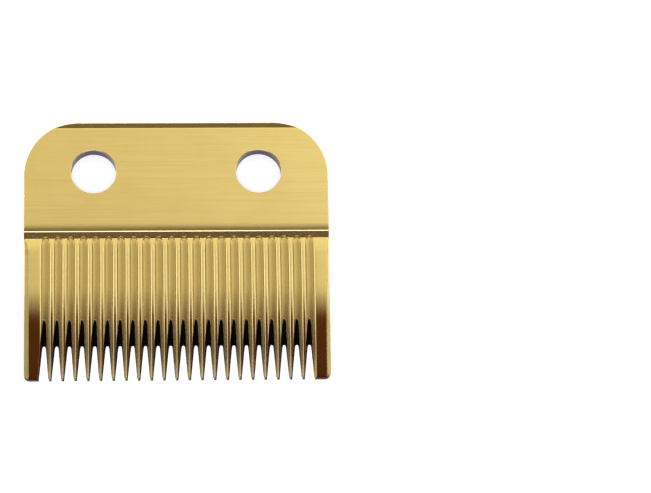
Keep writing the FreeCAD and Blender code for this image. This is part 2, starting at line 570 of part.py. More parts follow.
# round rear end with a flat floor, as a cutter leaves it: half a turn about
# the flute's middle, on the side of the step
be = sketch("flute_end_section", "XZ_Plane", Vector(0, 0, H - V["flute_end_at"]))
be.setExpression("AttachmentOffset.Base.z", "(%s - dims.flute_end_at) * 1mm" % half)
hi = 1.0
fe, lean = V["flute_end_floor"], V["flute_end_lean"]
q_meet = x3 - (fd - fe) / math.tan(fa)                  # floor line meets flank line
q_tan = sr * math.tan(fa / 2)
EF["qi"] = "(%s - (dims.flute_depth - dims.flute_end_floor) / tan(dims.flute_flank * 1deg))" % EF["x3"]
EF["qt"] = "(dims.flute_side_r * tan(dims.flute_flank * 0.5deg))"
m0, m1 = FS(1, 0, fe), FS(1, 0, hi)
e0 = FS(1, q_meet - q_tan, fe)
e1 = FS(1, q_meet + q_tan * math.cos(fa), fe + q_tan * math.sin(fa))
ec = FS(1, q_meet - q_tan, fe + sr)
t2 = FS(1, x3 + lean, hi)
e = chain(be, [("L", m0, e0), ("A", e0, e1, ec, True), ("L", e1, cR), ("L", cR, t2), ("L", t2, m1), ("L", m1, m0)])
close(be, e)
pin(be, e[5][0], 2, m0.x, m0.y, mm(ex0), fz("dims.flute_end_floor"))
be.addConstraint(C("Horizontal", e[0][0]))
at(be, be.addConstraint(C("DistanceX", -1, 1, e[0][0], 2, e0.x)), fx(1, "%s - %s" % (EF["qi"], EF["qt"])))
pin(be, e[2][0], 1, e1.x, e1.y, fx(1, "%s + %s * cos(dims.flute_flank * 1deg)" % (EF["qi"], EF["qt"])), fz("dims.flute_end_floor + %s * sin(dims.flute_flank * 1deg)" % EF["qt"]))
at(be, be.addConstraint(C("Radius", e[1][0], sr)), mm("dims.flute_side_r"))
pin(be, e[2][0], 2, cR.x, cR.y, fx(1, EF["x3"]), fz("dims.flute_depth"))
pin(be, e[3][0], 2, t2.x, t2.y, fx(1, "%s + dims.flute_end_lean" % EF["x3"]), fz(repr(hi)))
be.addConstraint(C("Horizontal", e[4][0]))
be.addConstraint(C("Vertical", e[5][0]))
axg = be.addGeometry(Part.LineSegment(m0, m1), True)
be.addConstraint(C("Coincident", axg, 1, e[5][0], 2))
be.addConstraint(C("Coincident", axg, 2, e[5][0], 1))
doc.recompute()
print("flute end sketch:", be.solve())
was = flute.Shape.Volume
bowl = body.newObject("PartDesign::Groove", "flute_end")
bowl.Profile = be
bowl.ReferenceAxis = (be, ["Axis0"])
bowl.Angle = 180.0
doc.recompute()
one_way = bowl.Shape.Volume
bowl.Reversed = True
doc.recompute()
other_way = bowl.Shape.Volume
# the wanted half turn goes into the step, so it takes away more
bowl.Reversed = other_way < one_way
print("flute end takes", round(was - one_way, 4), "or", round(was - other_way, 4))
done(bowl, "one flute end")

fl = body.newObject("PartDesign::LinearPattern", "flutes")
fl.Originals = [flute, bowl]
fl.Direction = (plane("X_Axis"), [""])
fl.Length = pitch * (V["flute_count"] - 1)
fl.setExpression("Length", mm("dims.pitch_len * (dims.flute_count - 1)"))
fl.Occurrences = int(V["flute_count"])
fl.setExpression("Occurrences", "dims.flute_count")
body.Tip = fl
done(fl, "flutes")

# ------------------------------------------------------------------ tooth gaps
# A V section with a narrow flat floor, cut along a line that runs out of the
# flute floor and down through the inner face, so each gap deepens to the tips.
ss, al = rad(V["slot_slope"]), rad(V["slot_half_angle"])
u_s = -1.2
sx0 = -pitch * (V["slot_count"] - 1) / 2 + V["slot_shift"] + V["slot_lean"] * u_s
esx0 = "-dims.pitch_len * (dims.slot_count - 1) / 2 + dims.slot_shift + dims.slot_lean * %s" % repr(u_s)
z_s = (u_s - V["slot_root_at"]) * math.tan(ss)
f2, r2, hs = V["slot_flat"] / 2, V["slot_corner_r"], V["slot_high"]
ez_s = "(%s - dims.slot_root_at) * tan(dims.slot_slope * 1deg)" % repr(u_s)
sk = sketch("gap_section", "XZ_Plane", Vector(0, 0, H - u_s))
sk.setExpression("AttachmentOffset.Base.z", "(%s - %s) * 1mm" % (half, repr(u_s)))
ex_ = f2 + r2 * math.cos(al)
ez_ = r2 * (1 - math.sin(al))
et_ = ex_ + (hs - ez_) * math.tan(al)


def SP(x, z):
    return Vector(sx0 + x, z_s + z, 0)


items = [
    ("L", SP(-f2, 0), SP(f2, 0)),
    ("A", SP(f2, 0), SP(ex_, ez_), SP(f2, r2), True),
    ("L", SP(ex_, ez_), SP(et_, hs)),
    ("L", SP(et_, hs), SP(-et_, hs)),
    ("L", SP(-et_, hs), SP(-ex_, ez_)),
    ("A", SP(-ex_, ez_), SP(-f2, 0), SP(-f2, r2), True),
]
e = chain(sk, items)
close(sk, e)
EX = "(dims.slot_flat / 2 + dims.slot_corner_r * cos(dims.slot_half_angle * 1deg))"
EZ = "(dims.slot_corner_r * (1 - sin(dims.slot_half_angle * 1deg)))"
ET = "(%s + (dims.slot_high - %s) * tan(dims.slot_half_angle * 1deg))" % (EX, EZ)
sxp = lambda s, k: mm("%s %s %s" % (esx0, "+" if s > 0 else "-", k))
szp = lambda k: mm("%s + %s" % (ez_s, k))
pin(sk, e[0][0], 1, SP(-f2, 0).x, z_s, sxp(-1, "dims.slot_flat / 2"), mm(ez_s))
pin(sk, e[0][0], 2, SP(f2, 0).x, z_s, sxp(1, "dims.slot_flat / 2"), mm(ez_s))
for s, arc, wall, w1, w2 in ((1, e[1], e[2], 1, 2), (-1, e[5], e[4], 2, 1)):
    pin(sk, wall[0], w1, SP(s * ex_, 0).x, z_s + ez_, sxp(s, EX), szp(EZ))
    pin(sk, wall[0], w2, SP(s * et_, 0).x, z_s + hs, sxp(s, ET), szp("dims.slot_high"))
    at(sk, sk.addConstraint(C("Radius", arc[0], r2)), mm("dims.slot_corner_r"))
doc.recompute()
print("gap sketch:", sk.solve())
run_len = 12.6 - u_s
gap = body.newObject("PartDesign::Pocket", "gap")
gap.Profile = sk
gap.Type = "Length"
gap.UseCustomVector = True
gap.Direction = Vector(V["slot_lean"] * math.cos(ss), math.cos(ss), math.sin(ss))
gap.setExpression("Direction.x", "dims.slot_lean * cos(dims.slot_slope * 1deg)")
gap.setExpression("Direction.y", "cos(dims.slot_slope * 1deg)")
gap.setExpression("Direction.z", "sin(dims.slot_slope * 1deg)")
gap.AlongSketchNormal = True
gap.Length = run_len
gap.Midplane = False
before = fl.Shape.Volume
doc.recompute()
if abs(before - gap.Shape.Volume) < 1e-3:
    gap.Reversed = True
done(gap, "one gap")

gp = body.newObject("PartDesign::LinearPattern", "gaps")
gp.Originals = [gap]
gp.Direction = (plane("X_Axis"), [""])
gp.Length = pitch * (V["slot_count"] - 1)
gp.setExpression("Length", mm("dims.pitch_len * (dims.slot_count - 1)"))
gp.Occurrences = int(V["slot_count"])
gp.setExpression("Occurrences", "dims.slot_count")
body.Tip = gp
done(gp, "gaps")

# ------------------------------------------------------------------ check and write
doc.recompute()
bad = [o.Label for o in doc.Objects if "Invalid" in o.State or "Error" in o.State]
if bad:
    raise RuntimeError("failed objects: %s" % ", ".join(bad))
s = body.Shape
if s.isNull() or not s.isValid() or len(s.Solids) != 1:
    raise RuntimeError("fixed_blade is not one valid solid")
bb = s.optimalBoundingBox(False, False)
print("box", [round(v, 3) for v in (bb.XMin, bb.XMax, bb.YMin, bb.YMax, bb.ZMin, bb.ZMax)], "volume", round(s.Volume, 2), "faces", len(s.Faces))
os.makedirs("parts", exist_ok=True)
s.exportStep("parts/fixed_blade.step")
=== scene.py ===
import bpy, bmesh, math
import numpy as np
from mathutils import Matrix, Vector
from mathutils.geometry import delaunay_2d_cdt


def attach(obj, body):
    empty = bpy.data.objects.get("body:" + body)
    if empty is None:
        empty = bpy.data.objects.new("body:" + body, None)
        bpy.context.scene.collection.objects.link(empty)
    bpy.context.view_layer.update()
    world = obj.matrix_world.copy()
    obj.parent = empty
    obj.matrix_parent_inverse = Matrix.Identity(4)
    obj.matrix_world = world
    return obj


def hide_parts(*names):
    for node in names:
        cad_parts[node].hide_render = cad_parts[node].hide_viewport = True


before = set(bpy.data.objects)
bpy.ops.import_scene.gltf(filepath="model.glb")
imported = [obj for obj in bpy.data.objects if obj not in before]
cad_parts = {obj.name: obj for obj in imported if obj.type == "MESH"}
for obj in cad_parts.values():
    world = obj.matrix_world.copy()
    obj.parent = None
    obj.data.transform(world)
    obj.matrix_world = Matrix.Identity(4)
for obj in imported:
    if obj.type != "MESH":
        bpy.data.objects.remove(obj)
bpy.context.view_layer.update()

sc = bpy.context.scene
sc.view_settings.view_transform = "Standard"
sc.view_settings.look = "None"

# ---------------------------------------------------------------- camera
TILT, YAW, ROLL = math.radians(16.577), math.radians(3.0614), math.radians(0.3118)
f = Vector((0, math.sin(TILT), -math.cos(TILT)))
u = Vector((0, math.cos(TILT), math.sin(TILT)))
r = Vector((1, 0, 0))
f, r = f * math.cos(YAW) + r * math.sin(YAW), r * math.cos(YAW) - f * math.sin(YAW)
u, r = u * math.cos(ROLL) + r * math.sin(ROLL), r * math.cos(ROLL) - u * math.sin(ROLL)
cam = bpy.data.cameras.new("camera")
cam.sensor_fit = "HORIZONTAL"
cam.sensor_width = 36.0
cam.lens = 36.0 * 3179.43 / 651.0
cam.clip_start, cam.clip_end = 0.05, 50.0
cam_ob = bpy.data.objects.new("camera", cam)
sc.collection.objects.link(cam_ob)
m = Matrix((r, u, -f)).transposed().to_4x4()
m.translation = Vector((-0.0032075, -0.136569, 0.461176))
cam_ob.matrix_world = m
sc.camera = cam_ob


# ---------------------------------------------------------------- light
def card(name, toward, dist, wide, tall, radiance, tint=(1, 1, 1)):
    """A soft rectangular light seen from the object in the direction toward."""
    d = Vector(toward).normalized()
    l = bpy.data.lights.new(name, "AREA")
    l.shape = "RECTANGLE"
    l.size, l.size_y = wide, tall
    l.energy = radiance * math.pi * wide * tall
    l.color = tint
    o = bpy.data.objects.new(name, l)
    sc.collection.objects.link(o)
    o.location = d * dist
    q = d.to_track_quat("Z", "Y")
    o.rotation_mode = "QUATERNION"
    o.rotation_quaternion = q
    o.visible_camera = False
    return o


def zen(theta, side=0.0):
    """Direction theta degrees from the zenith, turned by side degrees from +Y towards +X."""
    t, s = math.radians(theta), math.radians(side)
    return (math.sin(t) * math.sin(s), math.sin(t) * math.cos(s), math.cos(t))


COOL = (0.85, 0.95, 1.4)
card("rear_soft", zen(34.2, 0), 1.0, 1.2, 0.849, 0.78)
card("rear_core", zen(41, 4), 1.0, 1.0, 0.45, 0.22)
card("rear_right", zen(30, 56), 1.0, 0.62, 0.62, 0.34, (0.9, 1.0, 1.4))
card("rear_low", zen(76, 0), 1.0, 1.2, 0.16, 0.16)
card("front_soft", zen(31, 180), 1.0, 0.8, 0.50, 3.2, (0.95, 1.0, 1.5))
card("left_soft", zen(68, -66), 1.0, 0.86, 0.70, 1.8, COOL)
card("right_soft", zen(70.5, 68), 1.0, 0.92, 0.66, 1.65, COOL)
card("left_fill", zen(38, -84), 1.0, 0.7, 0.34, 0.38, COOL)
card("right_fill", zen(36, 84), 1.0, 0.7, 0.30, 0.2, COOL)

world = bpy.data.worlds.new("studio")
sc.world = world
world.use_nodes = True
bg = world.node_tree.nodes["Background"]
bg.inputs["Color"].default_value = (0.060, 0.024, 0.006, 1)
bg.inputs["Strength"].default_value = 1.0
# what the metal mirrors is dim, what the camera sees past the floor is pale
wt = world.node_tree
pale = wt.nodes.new("ShaderNodeBackground")
pale.inputs["Color"].default_value = (1, 1, 1, 1)
pick = wt.nodes.new("ShaderNodeMixShader")
path = wt.nodes.new("ShaderNodeLightPath")
wt.links.new(path.outputs["Is Camera Ray"], pick.inputs[0])
wt.links.new(bg.outputs[0], pick.inputs[1])
wt.links.new(pale.outputs[0], pick.inputs[2])
wt.links.new(pick.outputs[0], wt.nodes["World Output"].inputs[0])

# ---------------------------------------------------------------- floor
me = bpy.data.meshes.new("floor")
S = 6.0
me.from_pydata([(-S, -S, 0), (S, -S, 0), (S, S, 0), (-S, S, 0)], [], [(0, 1, 2, 3)])
floor = bpy.data.objects.new("floor", me)
sc.collection.objects.link(floor)
floor.location = (0, 0, -0.00003)
mat = bpy.data.materials.new("pale_floor")
mat.use_nodes = True
b = mat.node_tree.nodes["Principled BSDF"]
b.inputs["Base Color"].default_value = (0.9, 0.9, 0.9, 1)
b.inputs["Roughness"].default_value = 0.9
b.inputs["Specular IOR Level"].default_value = 0.1
b.inputs["Emission Color"].default_value = (1, 1, 1, 1)
b.inputs["Emission Strength"].default_value = 0.6
me.materials.append(mat)

# ---------------------------------------------------------------- blade surface
# All lengths here are in millimetres. x runs across the blade, v is the
# distance from the tooth tips, z is up from the inner face.
W2, LEN, THICK = 23.0, 40.1, 2.2
NOSE, TIP = 0.2, 0.36
TS, DS, SA, RA = (math.radians(a) for a in (6.5, 8.0, 36.5, 4.5))
V_CE, V_CS, V_DF, V_DB, V_VA, V_RE, V_RS = 7.5, 14.4, 19.6, 20.8, 21.71, 23.0, 24.1
R_CROWN = (V_CS - V_CE) / math.sin(TS)
Z_SLOPE = TIP + V_CE * math.tan(TS)
Z_FLAT = Z_SLOPE + R_CROWN * (1 - math.cos(TS))
R_DIP = (V_DB - V_DF) / math.sin(DS)
Z_BEND = Z_FLAT - R_DIP * (1 - math.cos(DS))
Z_VAL = Z_BEND - (V_VA - V_DB) * math.tan(DS)
R_ROLL = (V_RS - V_RE) / math.sin(RA)
Z_ROLL = THICK - R_ROLL * (1 - math.cos(RA))
V_EDGE = (Z_ROLL - V_RE * math.tan(RA) - Z_VAL + V_VA * math.tan(SA)) / (math.tan(SA) - math.tan(RA))
Z_EDGE = Z_VAL + (V_EDGE - V_VA) * math.tan(SA)
Z_NOSE = TIP + NOSE * math.tan(TS) - NOSE / math.cos(TS)
R_EDGE, R_FOOT, R_REAR = 0.4, 0.12, 0.8
BEV = math.atan2(0.6, 1.05)
T_REAR = R_REAR * math.tan(BEV / 2)
T_EDGE = R_EDGE * math.tan((SA - RA) / 2)
T_FOOT = R_FOOT * math.tan((SA + DS) / 2)
C_FOOT = (V_VA - T_FOOT * math.cos(DS) + R_FOOT * math.sin(DS), Z_VAL + T_FOOT * math.sin(DS) + R_FOOT * math.cos(DS))
C_EDGE = (V_EDGE + T_EDGE * math.cos(RA) + R_EDGE * math.sin(RA), Z_EDGE + T_EDGE * math.sin(RA) - R_EDGE * math.cos(RA))
V_R0 = LEN - 1.05 - T_REAR
PITCH, N = 1.8904, 22
XF0 = -PITCH * (N - 1) / 2 + 0.15
XS0 = -PITCH * (N - 1) / 2 - 0.119
LEAN_X = 0.012
FD, FR, FH, FSR, FA, FCR, V_BOWL = 0.2525, 2.4, 0.465, 0.06, math.radians(62), 0.36, 21.4
FE, LEAN = 0.02, 0.1
FT0 = math.asin(FH / FR)
F_Z1 = FR - math.sqrt(FR * FR - FH * FH)
F_X2 = FH + FSR * (math.sin(FA) - math.sin(FT0))
F_Z2 = F_Z1 + FSR * (math.cos(FT0) - math.cos(FA))
F_X3 = F_X2 + (FD - F_Z2) / math.tan(FA)
FULL = FD + FCR * (1 - math.cos(FA))
F_X4 = F_X3 + FCR * math.sin(FA)
Z_FLOOR = Z_FLAT - FULL
SS, AL = math.radians(13.4), math.radians(20.74)
S_ROOT, S_F2, S_R2 = 5.346, 0.09, 0.2
S_EX, S_EZ = S_F2 + S_R2 * math.cos(AL), S_R2 * (1 - math.sin(AL))
R_BACK, R_FRONT = 8.55, 1.0
HOLES = ((-12.5, 32.1), (12.5, 32.1))
R_HOLE, BREAK = 3.4, 0.12
EDGE = 0.07
H_HALF, H_MID = 3.9, 13.5
H_R = (H_HALF ** 2 + 0.3 ** 2) / 0.6
SHARE = {
    -1: ((-0.6, 1.0), (17.0, 1.0), (19.6, 0.96), (20.8, 0.66), (21.6, 0.22), (21.9, 0.06), (22.1, 0.0), (50, 0.0)),
    1: ((-0.6, 1.0), (3.5, 1.0), (7.5, 0.98), (9.8, 0.92), (12.1, 0.84), (14.4, 0.76), (17.0, 0.68), (19.6, 0.56), (20.8, 0.40), (21.6, 0.16), (21.9, 0.05), (22.1, 0.0), (50, 0.0)),
}


def root(a):
    return np.sqrt(np.maximum(a, 0.0))


def smin(a, b, k):
    h = np.maximum(k - np.abs(a - b), 0.0)
    return np.minimum(a, b) - h * h / (4 * k)


def profile(v):
    """Height of the ridges and the plate along the blade."""
    v = np.maximum(v, 0.0)
    e1, e2 = C_EDGE[0] - R_EDGE * math.sin(SA), C_EDGE[0] - R_EDGE * math.sin(RA)
    f1, f2 = C_FOOT[0] - R_FOOT * math.sin(DS), C_FOOT[0] + R_FOOT * math.sin(SA)
    return np.select(
        [v < NOSE - NOSE * math.sin(TS), v < V_CE, v < V_CS, v < V_DF, v < V_DB, v < f1, v < f2, v < e1, v < e2, v < V_RE, v < V_RS, v < V_R0, v < V_R0 + R_REAR * math.sin(BEV)],
        [
            Z_NOSE + root(NOSE ** 2 - (NOSE - v) ** 2),
            TIP + v * math.tan(TS),
            Z_FLAT - R_CROWN + root(R_CROWN ** 2 - (V_CS - v) ** 2),
            Z_FLAT + 0 * v,
            Z_FLAT - R_DIP + root(R_DIP ** 2 - (v - V_DF) ** 2),
            Z_BEND - (v - V_DB) * math.tan(DS),
            C_FOOT[1] - root(R_FOOT ** 2 - (v - C_FOOT[0]) ** 2),
            Z_VAL + (v - V_VA) * math.tan(SA),
            C_EDGE[1] + root(R_EDGE ** 2 - (v - C_EDGE[0]) ** 2),
            Z_ROLL - (V_RE - v) * math.tan(RA),
            THICK - R_ROLL + root(R_ROLL ** 2 - (V_RS - v) ** 2),
            THICK + 0 * v,
            THICK - R_REAR + root(R_REAR ** 2 - (v - V_R0) ** 2),
        ],
        THICK - (v - (LEN - 1.05)) * math.tan(BEV),
    )


Q_MEET = F_X3 - (FD - FE) / math.tan(FA)
Q_TAN = FSR * math.tan(FA / 2)


def flute_rise(q):
    """Height of a flute's section above its lowest line, q from its middle."""
    cx, cz = FH - FSR * math.sin(FT0), F_Z1 + FSR * math.cos(FT0)
    return np.select(
        [q < FH, q < F_X2, q < F_X3, q < F_X4],
        [
            FR - root(FR * FR - q * q),
            cz - root(FSR ** 2 - (q - cx) ** 2),
            F_Z2 + (q - F_X2) * math.tan(FA),
            FULL - FCR + root(FCR ** 2 - (F_X4 - q) ** 2),
        ],
        FULL + (q - F_X4) * 0.2,
    )


def end_rise(q):
    """The same for the flute's round end, q from its centre."""
    cx = Q_MEET - Q_TAN
    return np.select(
        [q < cx, q < Q_MEET + Q_TAN * math.cos(FA), q < F_X3],
        [FE + 0 * q, FE + FSR - root(FSR ** 2 - (q - cx) ** 2), FD - (F_X3 - q) * math.tan(FA)],
        FD + (q - F_X3) * (1.0 - FD) / LEAN,
    )


def flute(x, v):
    i = np.clip(np.round((x - XF0) / PITCH), 0, N - 1)
    xi = np.abs(x - (XF0 + i * PITCH))
    # the section runs into the round end over a short way
    t = np.clip((v - V_BOWL) / 0.06 + 0.5, 0, 1)
    t = t * t * (3 - 2 * t)
    a, b = flute_rise(xi), end_rise(np.hypot(xi, np.maximum(v - V_BOWL, 0.0)))
    high = np.maximum(a, b) > FD
    s = np.where(high & (v > V_BOWL), b, a + (b - a) * t)
    d = FULL - s
    level = Z_FLAT - d
    rc = R_CROWN - d
    arc = Z_FLAT - R_CROWN + root(rc ** 2 - (V_CS - v) ** 2)
    slope = TIP + v * math.tan(TS) - d / math.cos(TS)
    return np.where(v >= V_CS, level, np.where(v >= V_CS - rc * math.sin(TS), arc, slope))


def gap(x, v):
    x = x - LEAN_X * v
    i = np.clip(np.round((x - XS0) / PITCH), 0, N - 1)
    c = np.abs(x - (XS0 + i * PITCH))
    q = np.where(c < S_F2, 0.0, np.where(c < S_EX, S_R2 - root(S_R2 ** 2 - (c - S_F2) ** 2), S_EZ + (c - S_EX) / math.tan(AL)))
    return (v - S_ROOT) * math.tan(SS) + q


def side_bevel(x, v, p):
    out = np.full(np.shape(x), 1e3)
    for side, full in ((-1, 0.85), (1, 0.65)):
        st = np.array(SHARE[side])
        share = np.interp(v, st[:, 0], st[:, 1])
        z = p - 0.3 / full * (side * x - (W2 - full * share))
        out = np.where((side * x > 0) & (share > 0), z, out)
    return out


def inset(x, v):
    """Distance inwards from the outline and how much the edge there is rounded."""
    ax = np.abs(x)
    d = np.minimum(W2 - ax, LEN - v)
    r = np.where((x < 0) & (v < 30), EDGE + 0.07 * np.clip((21.9 - v) / 1.5, 0, 1), EDGE)
    cx, cv = W2 - R_BACK, LEN - R_BACK
    in_b = (ax > cx) & (v > cv)
    d = np.where(in_b, R_BACK - np.hypot(ax - cx, v - cv), d)
    cx, cv = W2 - R_FRONT, R_FRONT
    in_f = (ax > cx) & (v < cv)
    rho = np.hypot(ax - cx, v - cv)
    d = np.where(in_f, R_FRONT - rho, d)
    turn = np.clip((ax - cx) / np.maximum(rho, 1e-6), 0, 1)
    r = np.where(in_f, r * turn ** 2 + 1e-4, r)
    return d, r


def hole_dist(x, v):
    return np.minimum(np.hypot(x - HOLES[0][0], v - HOLES[0][1]), np.hypot(x - HOLES[1][0], v - HOLES[1][1])) - R_HOLE


def quarter(d, r):
    t = np.clip(1 - d / r, 0, 1)
    return r * (1 - root(1 - t * t))


def under(v):
    """Height of the inner face: flat, with a shallow hollow and a small rear break."""
    z = 0.3 - H_R + root(H_R ** 2 - (v - H_MID) ** 2)
    z = np.where(np.abs(v - H_MID) < H_HALF, z, 0.0)
    return np.maximum(z, np.maximum(v - (LEN - 0.15), 0.0))


def height(x, v):
    p = profile(v)
    z = smin(p, side_bevel(x, v, p), 0.03)
    z = smin(z, flute(x, v), 0.03)
    z = smin(z, gap(x, v), 0.035)
    d, r = inset(x, v)
    return z - quarter(d, r) - quarter(hole_dist(x, v), BREAK)


def outward(x, v):
    """Level normal of the outline, or of a hole's wall, at a point on it."""
    n = np.zeros((len(x), 2))
    ax = np.abs(x)
    sx = np.sign(x)
    side = W2 - ax < 1e-4
    n[side, 0] = sx[side]
    n[(v < 1e-4) & ~side] = (0, -1)
    n[(LEN - v < 1e-4) & ~side] = (0, 1)
    for R, cv, on in ((R_BACK, LEN - R_BACK, v > LEN - R_BACK), (R_FRONT, R_FRONT, v < R_FRONT)):
        cx = W2 - R
        a = on & (ax > cx)
        n[a, 0] = sx[a] * (ax[a] - cx) / R
        n[a, 1] = (v[a] - cv) / R
    for hx, hv in HOLES:
        q = np.hypot(x - hx, v - hv)
        a = q < R_HOLE + 0.02
        n[a, 0] = (hx - x[a]) / q[a]
        n[a, 1] = (hv - v[a]) / q[a]
    return n / np.maximum(np.linalg.norm(n, axis=1), 1e-9)[:, None]


def columns(v, left, right, count, clip=-0.25):
    """Places of count+1 lines from left to right, closer where the surface turns."""
    x = np.linspace(left, right, 1201)
    z = np.maximum(height(x, np.full_like(x, v)), clip)
    dz = np.gradient(z, x)
    turn = np.abs(np.gradient(np.arctan(dz), x))
    turn = np.convolve(np.pad(turn, 6, "edge"), np.ones(13) / 13, "valid")
    w = np.sqrt(1 + dz * dz) * (z > clip) + 0.35 + 0.42 * np.minimum(turn, 60)
    c = np.concatenate([[0], np.cumsum((w[1:] + w[:-1]) / 2)])
    return np.interp(np.linspace(0, c[-1], count + 1), c, x)


def span(a, b, step):
    return list(np.linspace(a, b, max(2, int(round((b - a) / step)) + 1))[:-1])


EDGE_D = [EDGE * (1 - math.sin(a)) for a in np.radians((90, 72, 55, 38, 22, 8))] + [EDGE]


def blade_mesh():
    rows = [0.0, 0.004, 0.015, 0.035, 0.065, 0.1, 0.14, 0.1774] + span(0.26, 4.66, 0.44) + span(4.66, 5.46, 0.05)
    rows += span(5.46, 8.2, 0.34) + span(8.2, 9.6, 0.1) + span(9.6, 14.4, 0.4) + span(14.4, 17.4, 0.5) + span(17.4, 19.6, 0.5) + span(19.6, 20.8, 0.2) + [20.8, 21.0]
    rows = np.array(rows)
    # lines across one pitch, the same for every pitch
    k = 32
    mid = XF0 + 10 * PITCH
    cols = np.array([columns(v, mid - PITCH / 2, mid + PITCH / 2, k) - mid for v in rows])
    for _ in range(2):
        cols[1:-1] = 0.25 * cols[:-2] + 0.5 * cols[1:-1] + 0.25 * cols[2:]
    xl, xr = XF0 - PITCH / 2, XF0 + (N - 1) * PITCH + PITCH / 2
    left = np.array([columns(v, -W2 + 0.075, xl, 16) for v in rows])
    right = np.array([columns(v, xr, W2 - 0.075, 16) for v in rows])
    for a in (left, right):
        for _ in range(2):
            a[1:-1] = 0.25 * a[:-2] + 0.5 * a[1:-1] + 0.25 * a[2:]
    ed = np.array(EDGE_D)
    grid = []
    for j, v in enumerate(rows):
        row = np.concatenate([-W2 + ed, left[j][:-1]] + [XF0 + i * PITCH + cols[j][:-1] for i in range(N)] + [right[j], (W2 - ed)[::-1]])
        # the front corners: the same lines, drawn in along the corner arc
        if v < R_FRONT:
            lim = W2 - R_FRONT + math.sqrt(max(0.0, R_FRONT ** 2 - (R_FRONT - v) ** 2))
            edge_x = W2 - R_FRONT - 1.2
            t = np.clip((np.abs(row) - edge_x) / (W2 - edge_x), 0, 1)
            row = np.where(np.abs(row) > edge_x, np.sign(row) * (edge_x + t * (lim - edge_x)), row)
        grid.append(row)
    grid = np.array(grid)
    nr, nc = grid.shape
    pts = [np.stack([grid.ravel(), np.repeat(rows, nc)], 1)]
    idx = np.arange(nr * nc).reshape(nr, nc)
    quads = np.stack([idx[:-1, :-1], idx[:-1, 1:], idx[1:, 1:], idx[1:, :-1]], -1).reshape(-1, 4)
    faces = [tuple(int(a) for a in q) for q in quads]

    # the rest of the outer face: flute ends, step, plate
    base = idx[-1]
    more = []

    def add(x, v):
        more.append(np.stack(np.broadcast_arrays(np.asarray(x, float), np.asarray(v, float)), -1).reshape(-1, 2))

    # one flute end, the lines around its mouth follow it
    phi = np.radians(np.linspace(-90, 90, 61))
    rr = np.linspace(0.3, 1.0, 2801)
    mouth = []
    for a in phi:
        g = Z_FLOOR + end_rise(rr) - profile(V_BOWL + rr * math.cos(a))
        mouth.append(rr[np.argmax(g > 0)])
    mouth = np.array(mouth)
    one = []
    for off in (-0.05, -0.03, -0.016, -0.006, 0.003, 0.012, 0.03):
        one.append(np.stack([(mouth + off) * np.sin(phi), V_BOWL + (mouth + off) * np.cos(phi)], 1))
    for q in (0.14, 0.26, 0.36, 0.42, 0.438, 0.452, 0.466, 0.48, 0.495, 0.52, 0.55, 0.575, 0.595, 0.61, 0.625):
        n_ = max(9, int(q * 44))
        a = np.radians(np.linspace(-90, 90, n_))
        keep = q < np.interp(a, phi, mouth) - 0.058
        one.append(np.stack([q * np.sin(a), V_BOWL + q * np.cos(a)], 1)[keep])
    one.append(np.array([[0.0, V_BOWL]]))
    for v in (21.1, 21.2, 21.28, 21.33, 21.365):
        c = columns(v, mid - PITCH / 2, mid + PITCH / 2, k) - mid
        one.append(np.stack([c[:-1], np.full(k, v)], 1))
    one = np.concatenate(one)
    mouth_far = lambda x, v: np.hypot(x, np.maximum(v - V_BOWL, 0)) - np.interp(np.arctan2(x, np.maximum(v - V_BOWL, 1e-6)), phi, mouth)
    out = []
    e1, e2 = C_EDGE[0] - R_EDGE * math.sin(SA), C_EDGE[0] - R_EDGE * math.sin(RA)
    vv = [21.385, 21.42, 21.46, 21.5, 21.54, 21.58, 21.62, 21.66, 21.7, 21.74, 21.78, 21.82, 21.86] + span(21.93, e1 - 0.02, 0.09)
    for v in vv:
        c = np.linspace(-PITCH / 2, PITCH / 2, 15)[:-1]
        keep = mouth_far(c, np.full(c.shape, v)) > 0.045
        out.append(np.stack([c, np.full(c.shape, v)], 1)[keep])
    one = np.concatenate([one] + out)
    for i in range(N):
        add(XF0 + i * PITCH + one[:, 0], one[:, 1])
    side_x = np.concatenate([np.linspace(-W2 + 0.12, xl, 14)[:-1], np.linspace(xr, W2 - 0.12, 14)])
    for v in [21.1, 21.2, 21.28, 21.34] + vv:
        add(side_x, v)
    wide = np.linspace(-W2 + 0.14, W2 - 0.14, 231)
    for v in np.linspace(e1, e2, 9):
        add(wide, v)
    wide = np.linspace(-W2 + 0.14, W2 - 0.14, 101)
    for v in (22.88, 23.0, 23.12, 23.3, 23.5, 23.7, 23.9, 24.1):
        add(wide, v)
    grid_v = span(24.5, V_R0, 0.9) + list(np.linspace(V_R0, V_R0 + R_REAR * math.sin(BEV), 7)) + [39.4, 39.6, 39.8, 39.95]
    for v in grid_v:
        n_ = 47 if v < V_R0 - 0.01 else 93
        add(np.linspace(-W2 + 0.2, W2 - 0.2, n_), v)
    more_pts = np.concatenate(more)
    # keep clear of the outline and the holes, which have lines of their own
    d, _ = inset(more_pts[:, 0], more_pts[:, 1])
    hd = hole_dist(more_pts[:, 0], more_pts[:, 1])
    more_pts = more_pts[(d > 0.1) & (hd > 0.24)]
    more = [more_pts]

    def outline(d):
        """The outline from the last straight row on the right, round the back, to the left."""
        R = R_BACK - d
        a = np.radians(np.linspace(0, 90, 61))
        vs = np.array(span(21.1, 21.55, 0.15) + span(21.55, 23.1, 0.1) + span(23.1, LEN - R_BACK, 0.7))
        xr_ = np.concatenate([np.full(len(vs), W2 - d), W2 - R_BACK + R * np.cos(a)])
        vr_ = np.concatenate([vs, LEN - R_BACK + R * np.sin(a)])
        xm = np.linspace(W2 - R_BACK, -(W2 - R_BACK), 46)[1:-1]
        x = np.concatenate([xr_, xm, -xr_[::-1]])
        v = np.concatenate([vr_, np.full(len(xm), LEN - d), vr_[::-1]])
        return np.stack([x, v], 1)

